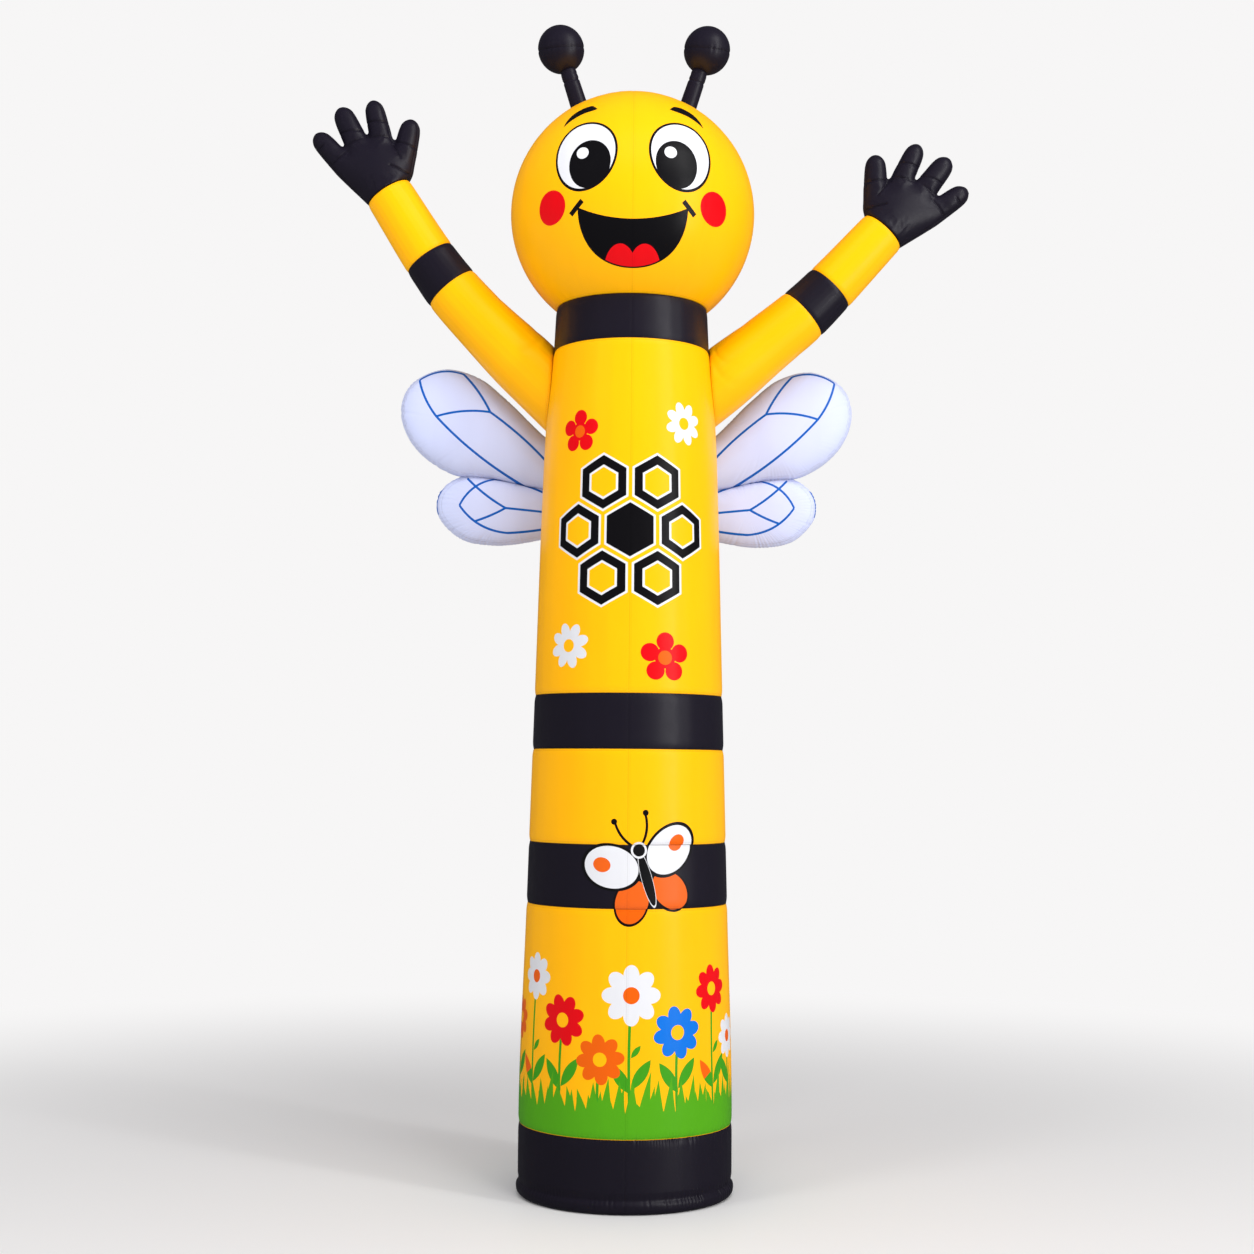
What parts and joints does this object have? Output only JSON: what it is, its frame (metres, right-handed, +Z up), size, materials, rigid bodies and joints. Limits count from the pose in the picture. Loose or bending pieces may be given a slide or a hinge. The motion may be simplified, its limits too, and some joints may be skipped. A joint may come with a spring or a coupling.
{
  "type": "inflatable bee column",
  "caption": "Tapered inflatable cloth column shaped as a bee, with a ball head, feelers, raised arms with hands and padded wings; it stands on its flat base band as a shop or event display.",
  "frame": {"origin": "middle of the base band's flat foot, on the floor", "axes": "+Z up the column, -Y towards the front with the face, +X to the right as seen from the front"},
  "size_m": [1.3896, 0.5068, 2.4033],
  "materials": {
    "yellow_cloth": "coated nylon cloth, soft sheen, partly printed",
    "black_cloth": "coated nylon cloth, soft sheen",
    "wing_cloth": "coated nylon cloth, soft sheen, printed veins"
  },
  "bodies": {
    "root": {"base_band": "black_cloth", "meadow_panel": "yellow_cloth", "lower_stripe": "black_cloth", "belly_panel": "yellow_cloth", "upper_stripe": "black_cloth", "chest_panel": "yellow_cloth", "collar": "black_cloth", "head": "yellow_cloth", "feeler_stalk_left": "black_cloth", "feeler_stalk_right": "black_cloth", "feeler_ball_left": "black_cloth", "feeler_ball_right": "black_cloth", "upper_arm_left": "yellow_cloth", "upper_arm_right": "yellow_cloth", "armband_left": "black_cloth", "armband_right": "black_cloth", "forearm_left": "yellow_cloth", "forearm_right": "yellow_cloth", "hand_left": "black_cloth", "hand_right": "black_cloth", "upper_wing_left": "wing_cloth", "upper_wing_right": "wing_cloth", "lower_wing_left": "wing_cloth", "lower_wing_right": "wing_cloth"}
  },
  "joints": []
}
